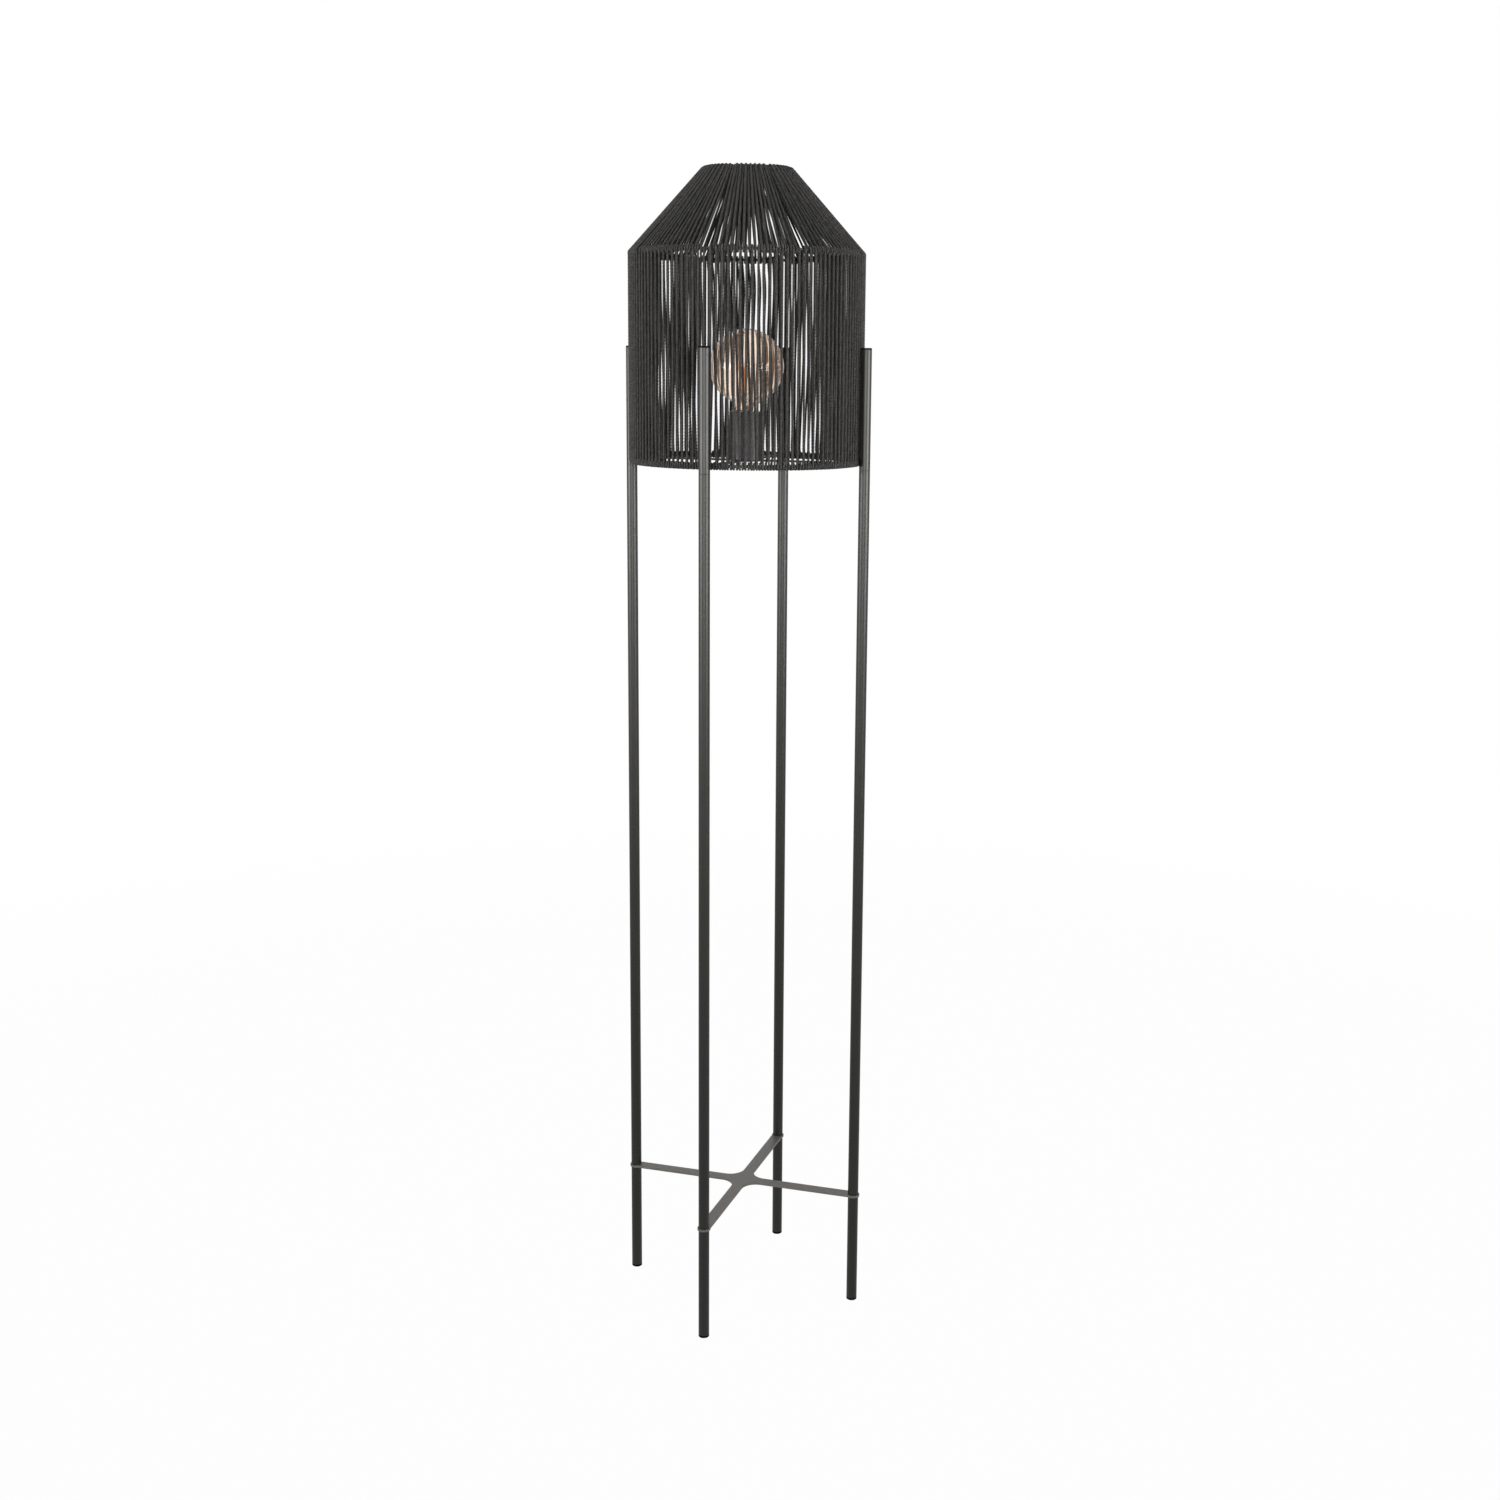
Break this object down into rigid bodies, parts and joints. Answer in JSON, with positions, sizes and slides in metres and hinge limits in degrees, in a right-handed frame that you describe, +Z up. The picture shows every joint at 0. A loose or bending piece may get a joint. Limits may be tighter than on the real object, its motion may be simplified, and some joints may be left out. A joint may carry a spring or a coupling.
{
  "type": "floor lamp",
  "caption": "Floor lamp: a wire cage shade strung with black cord, open at the top, on slim straight tube legs joined by a flat cross brace, with a large amber globe bulb that screws out.",
  "frame": {"origin": "on the floor, under the shade's axis", "axes": "+Z up along the shade's axis; the legs stand on the X and Y axes"},
  "size_m": [0.332, 0.332, 1.5001],
  "materials": {
    "leg_metal": "satin charcoal powder coat",
    "brace_metal": "satin warm grey powder coat",
    "foot_plastic": "matt black",
    "frame_wire": "matt black coated wire",
    "shade_cord": "tightly twisted black cord",
    "zinc_steel": "zinc plated",
    "holder_shell": "satin black moulding",
    "ceramic": "glazed white ceramic",
    "contact_brass": "bright brass",
    "amber_glass": "amber tinted clear glass",
    "clear_glass": "clear glass",
    "cap_metal": "nickel bright",
    "cap_insulator": "black glass insulator",
    "filament": "yellow coated filament"
  },
  "bodies": {
    "root": {"front_foot_plug": "foot_plastic", "front_foot_tube": "leg_metal", "front_lower_tube": "leg_metal", "front_upper_tube": "leg_metal", "front_post": "leg_metal", "front_post_cap": "foot_plastic", "right_foot_plug": "foot_plastic", "right_foot_tube": "leg_metal", "right_lower_tube": "leg_metal", "right_upper_tube": "leg_metal", "right_post": "leg_metal", "right_post_cap": "foot_plastic", "rear_foot_plug": "foot_plastic", "rear_foot_tube": "leg_metal", "rear_lower_tube": "leg_metal", "rear_upper_tube": "leg_metal", "rear_post": "leg_metal", "rear_post_cap": "foot_plastic", "left_foot_plug": "foot_plastic", "left_foot_tube": "leg_metal", "left_lower_tube": "leg_metal", "left_upper_tube": "leg_metal", "left_post": "leg_metal", "left_post_cap": "foot_plastic", "threaded_inserts": "zinc_steel", "connecting_studs": "zinc_steel", "leg_brace": "brace_metal", "bottom_ring": "frame_wire", "shoulder_ring": "frame_wire", "top_ring": "frame_wire", "frame_ribs": "frame_wire", "post_pins": "frame_wire", "winding_1": "shade_cord", "winding_2": "shade_cord", "winding_3": "shade_cord", "winding_4": "shade_cord", "winding_5": "shade_cord", "winding_6": "shade_cord", "winding_7": "shade_cord", "winding_8": "shade_cord", "holder_plate": "frame_wire", "threaded_nipple": "zinc_steel", "nipple_nuts": "zinc_steel", "inlet_bush": "foot_plastic", "holder_base": "holder_shell", "holder_sleeve": "holder_shell", "contact_block": "ceramic", "terminal_screws": "contact_brass", "holder_liner": "ceramic", "threaded_shell": "contact_brass", "centre_contact": "contact_brass"},
    "bulb_contact": {"bulb_tip": "contact_brass"},
    "bulb": {"bulb_glass": "amber_glass", "bulb_cap": "cap_metal", "bulb_insulator": "cap_insulator", "bulb_stem": "clear_glass", "bulb_filaments": "filament", "filament_wires": "cap_metal"}
  },
  "joints": [
    {"name": "bulb_lift", "type": "slide", "parent": "root", "child": "bulb_contact", "axis": [0, 0, 1], "range_m": [0, 0.01634]},
    {"name": "bulb_turn", "type": "hinge", "parent": "bulb_contact", "child": "bulb", "pos_m": [0, 0, 1.165], "axis": [0, 0, 1], "range_deg": [0, 1620]}
  ],
  "couplings": [
    {"joint": "bulb_lift", "follows": "bulb_turn", "m_per_rad": 0.00057757}
  ]
}
